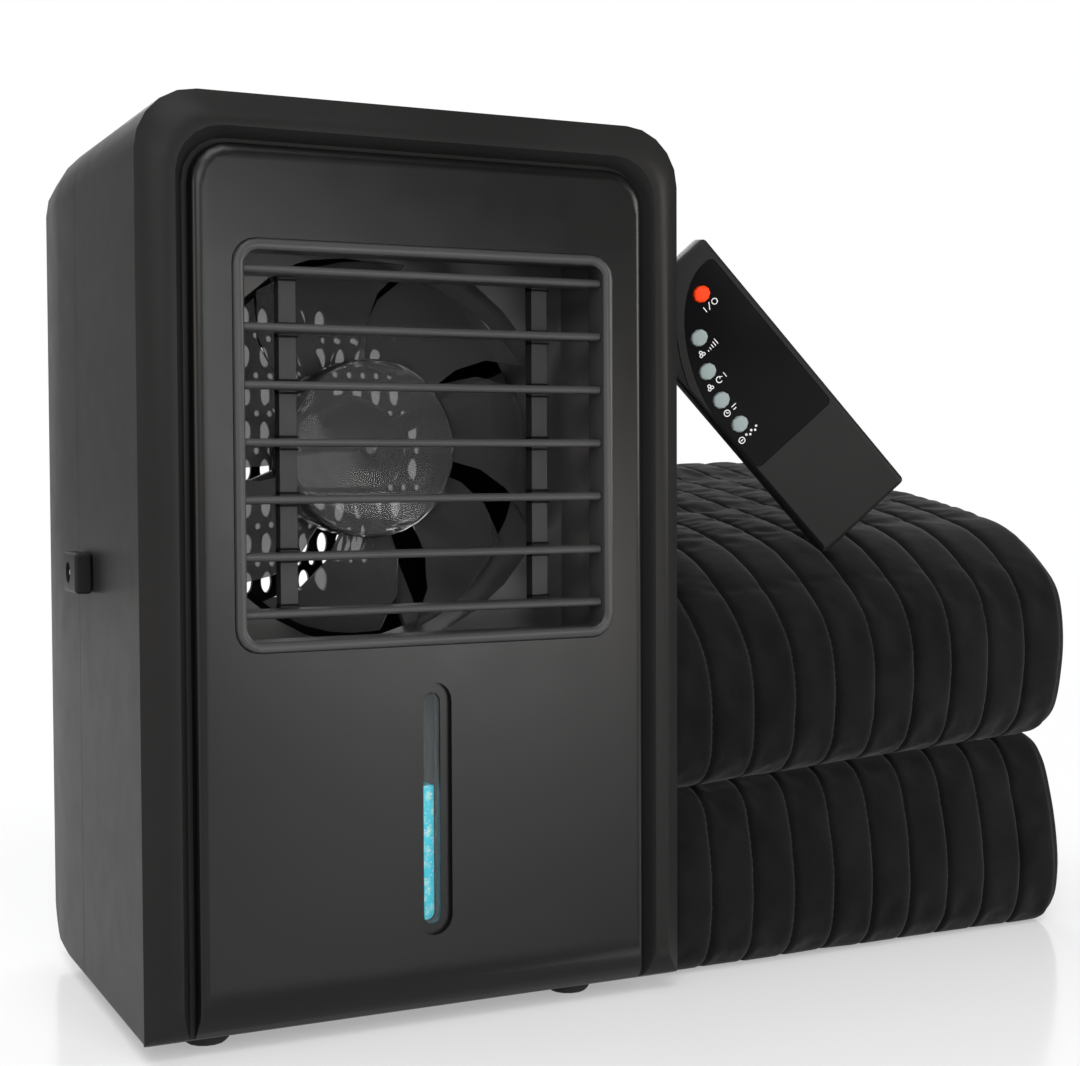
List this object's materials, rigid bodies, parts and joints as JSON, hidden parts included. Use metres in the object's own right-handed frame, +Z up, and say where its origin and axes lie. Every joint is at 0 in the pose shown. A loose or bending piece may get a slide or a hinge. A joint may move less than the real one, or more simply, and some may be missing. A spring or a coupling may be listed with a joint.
{
  "type": "bed cooling system",
  "caption": "Bedside water-cooling unit with louvred air outlet, fan, level gauge and rear hose couplings, with a leaning handset and a folded quilted pad.",
  "frame": {"origin": "centre of the whole set's base, on the floor", "axes": "+Z up, the unit's front faces -Y, and the pad lies on the +X side"},
  "size_m": [0.4818, 0.3202, 0.3834],
  "materials": {
    "satin_black": "satin",
    "panel_black": "satin",
    "blade_grey": "satin",
    "smoky_clear": "smoky translucent",
    "steel": "brushed",
    "motor_grey": "satin",
    "clear_lens": "clear",
    "ice_water": "wet",
    "tank_plastic": "satin",
    "rubber": "matt",
    "key_grey": "satin",
    "board_green": "lacquered",
    "quilted_fabric": "matt velvety quilt",
    "handset_charcoal": "matt",
    "gloss_black": "gloss",
    "key_red": "satin"
  },
  "bodies": {
    "cooling_unit": {"front_shell": "satin_black", "rear_shell": "satin_black", "front_panel": "panel_black", "louvre_frame": "panel_black", "fan_shroud": "satin_black", "fan_motor": "motor_grey", "motor_bracket": "satin_black", "rear_grille": "satin_black", "grille_screw_1": "steel", "grille_screw_2": "steel", "grille_screw_3": "steel", "grille_screw_4": "steel", "level_lens": "clear_lens", "gauge_housing": "satin_black", "level_water": "ice_water", "water_tank": "tank_plastic", "tank_lid": "tank_plastic", "coupling_supply": "satin_black", "coupling_return": "satin_black", "water_pump": "motor_grey", "hose_supply": "rubber", "hose_return": "rubber", "power_inlet": "satin_black", "power_inlet_pin": "steel", "control_strip": "panel_black", "control_board": "board_green", "ioniser": "satin_black", "foot_front_left": "rubber", "foot_front_right": "rubber", "foot_back_left": "rubber", "foot_back_right": "rubber"},
    "fan": {"fan_impeller": "smoky_clear", "fan_shaft": "steel"},
    "tie_left": {"tie_bar_left": "blade_grey"},
    "tie_right": {"tie_bar_right": "blade_grey"},
    "filler_cap": {"filler_cap": "satin_black"},
    "drain_plug": {"drain_plug": "rubber"},
    "pad": {"pad_lower_roll": "quilted_fabric", "pad_upper_roll": "quilted_fabric"},
    "handset": {"handset_front": "handset_charcoal", "handset_back": "handset_charcoal", "handset_overlay": "gloss_black", "handset_board": "board_green", "battery_cell": "steel"},
    "battery_cover": {"battery_cover": "handset_charcoal"},
    "louvre_1": {"louvre_1": "blade_grey"},
    "louvre_2": {"louvre_2": "blade_grey"},
    "louvre_3": {"louvre_3": "blade_grey"},
    "louvre_4": {"louvre_4": "blade_grey"},
    "louvre_5": {"louvre_5": "blade_grey"},
    "louvre_6": {"louvre_6": "blade_grey"},
    "louvre_7": {"louvre_7": "blade_grey"},
    "top_key_1": {"top_key_1": "key_grey"},
    "top_key_2": {"top_key_2": "key_grey"},
    "top_key_3": {"top_key_3": "key_grey"},
    "handset_key_1": {"handset_key_1": "key_red"},
    "handset_key_2": {"handset_key_2": "key_grey"},
    "handset_key_3": {"handset_key_3": "key_grey"},
    "handset_key_4": {"handset_key_4": "key_grey"},
    "handset_key_5": {"handset_key_5": "key_grey"}
  },
  "joints": [
    {"name": "fan_spin", "type": "hinge", "parent": "cooling_unit", "child": "fan", "pos_m": [-0.1132, -0.0889, 0.24165], "axis": [0, 1, 0], "continuous": true},
    {"name": "louvre_1_tilt", "type": "hinge", "parent": "cooling_unit", "child": "louvre_1", "pos_m": [-0.1132, -0.1499, 0.3117], "axis": [1, 0, 0], "range_deg": [-25, 25]},
    {"name": "louvre_2_tilt", "type": "hinge", "parent": "cooling_unit", "child": "louvre_2", "pos_m": [-0.1132, -0.1499, 0.2889], "axis": [1, 0, 0], "range_deg": [-25, 25]},
    {"name": "louvre_3_tilt", "type": "hinge", "parent": "cooling_unit", "child": "louvre_3", "pos_m": [-0.1132, -0.1499, 0.2661], "axis": [1, 0, 0], "range_deg": [-25, 25]},
    {"name": "louvre_4_tilt", "type": "hinge", "parent": "cooling_unit", "child": "louvre_4", "pos_m": [-0.1132, -0.1499, 0.2433], "axis": [1, 0, 0], "range_deg": [-25, 25]},
    {"name": "louvre_5_tilt", "type": "hinge", "parent": "cooling_unit", "child": "louvre_5", "pos_m": [-0.1132, -0.1499, 0.2205], "axis": [1, 0, 0], "range_deg": [-25, 25]},
    {"name": "louvre_6_tilt", "type": "hinge", "parent": "cooling_unit", "child": "louvre_6", "pos_m": [-0.1132, -0.1499, 0.1977], "axis": [1, 0, 0], "range_deg": [-25, 25]},
    {"name": "louvre_7_tilt", "type": "hinge", "parent": "cooling_unit", "child": "louvre_7", "pos_m": [-0.1132, -0.1499, 0.1749], "axis": [1, 0, 0], "range_deg": [-25, 25]},
    {"name": "tie_left_swing", "type": "hinge", "parent": "louvre_1", "child": "tie_left", "pos_m": [-0.1697, -0.1399, 0.3117], "axis": [1, 0, 0], "range_deg": [-25, 25]},
    {"name": "tie_right_swing", "type": "hinge", "parent": "louvre_1", "child": "tie_right", "pos_m": [-0.0567, -0.1399, 0.3117], "axis": [1, 0, 0], "range_deg": [-25, 25]},
    {"name": "filler_cap_pull", "type": "slide", "parent": "cooling_unit", "child": "filler_cap", "axis": [0, 1, 0], "range_m": [0, 0.03]},
    {"name": "drain_plug_pull", "type": "slide", "parent": "cooling_unit", "child": "drain_plug", "axis": [0, 1, 0], "range_m": [0, 0.025]},
    {"name": "top_key_1_press", "type": "slide", "parent": "cooling_unit", "child": "top_key_1", "axis": [0, 0, -1], "range_m": [0, 0.0012], "stiffness_N_per_m": 500, "springref_m": -0.0003},
    {"name": "top_key_2_press", "type": "slide", "parent": "cooling_unit", "child": "top_key_2", "axis": [0, 0, -1], "range_m": [0, 0.0012], "stiffness_N_per_m": 500, "springref_m": -0.0003},
    {"name": "top_key_3_press", "type": "slide", "parent": "cooling_unit", "child": "top_key_3", "axis": [0, 0, -1], "range_m": [0, 0.0012], "stiffness_N_per_m": 500, "springref_m": -0.0003},
    {"name": "pad_lift", "type": "slide", "parent": "cooling_unit", "child": "pad", "axis": [0, 0, 1], "range_m": [0, 0.15]},
    {"name": "handset_lift", "type": "slide", "parent": "pad", "child": "handset", "axis": [0, 0, 1], "range_m": [0, 0.12]},
    {"name": "handset_key_1_press", "type": "slide", "parent": "handset", "child": "handset_key_1", "axis": [0.2592, 0.9596, 0.1091], "range_m": [0, 0.0009], "stiffness_N_per_m": 400, "springref_m": -0.0002},
    {"name": "handset_key_2_press", "type": "slide", "parent": "handset", "child": "handset_key_2", "axis": [0.2592, 0.9596, 0.1091], "range_m": [0, 0.0009], "stiffness_N_per_m": 400, "springref_m": -0.0002},
    {"name": "handset_key_3_press", "type": "slide", "parent": "handset", "child": "handset_key_3", "axis": [0.2592, 0.9596, 0.1091], "range_m": [0, 0.0009], "stiffness_N_per_m": 400, "springref_m": -0.0002},
    {"name": "handset_key_4_press", "type": "slide", "parent": "handset", "child": "handset_key_4", "axis": [0.2592, 0.9596, 0.1091], "range_m": [0, 0.0009], "stiffness_N_per_m": 400, "springref_m": -0.0002},
    {"name": "handset_key_5_press", "type": "slide", "parent": "handset", "child": "handset_key_5", "axis": [0.2592, 0.9596, 0.1091], "range_m": [0, 0.0009], "stiffness_N_per_m": 400, "springref_m": -0.0002},
    {"name": "battery_cover_slide", "type": "slide", "parent": "handset", "child": "battery_cover", "axis": [0.6718, -0.098, -0.7343], "range_m": [0, 0.006]}
  ],
  "couplings": [
    {"joint": "louvre_2_tilt", "follows": "louvre_1_tilt", "ratio": 1},
    {"joint": "louvre_3_tilt", "follows": "louvre_1_tilt", "ratio": 1},
    {"joint": "louvre_4_tilt", "follows": "louvre_1_tilt", "ratio": 1},
    {"joint": "louvre_5_tilt", "follows": "louvre_1_tilt", "ratio": 1},
    {"joint": "louvre_6_tilt", "follows": "louvre_1_tilt", "ratio": 1},
    {"joint": "louvre_7_tilt", "follows": "louvre_1_tilt", "ratio": 1},
    {"joint": "tie_left_swing", "follows": "louvre_1_tilt", "ratio": -1},
    {"joint": "tie_right_swing", "follows": "louvre_1_tilt", "ratio": -1}
  ]
}
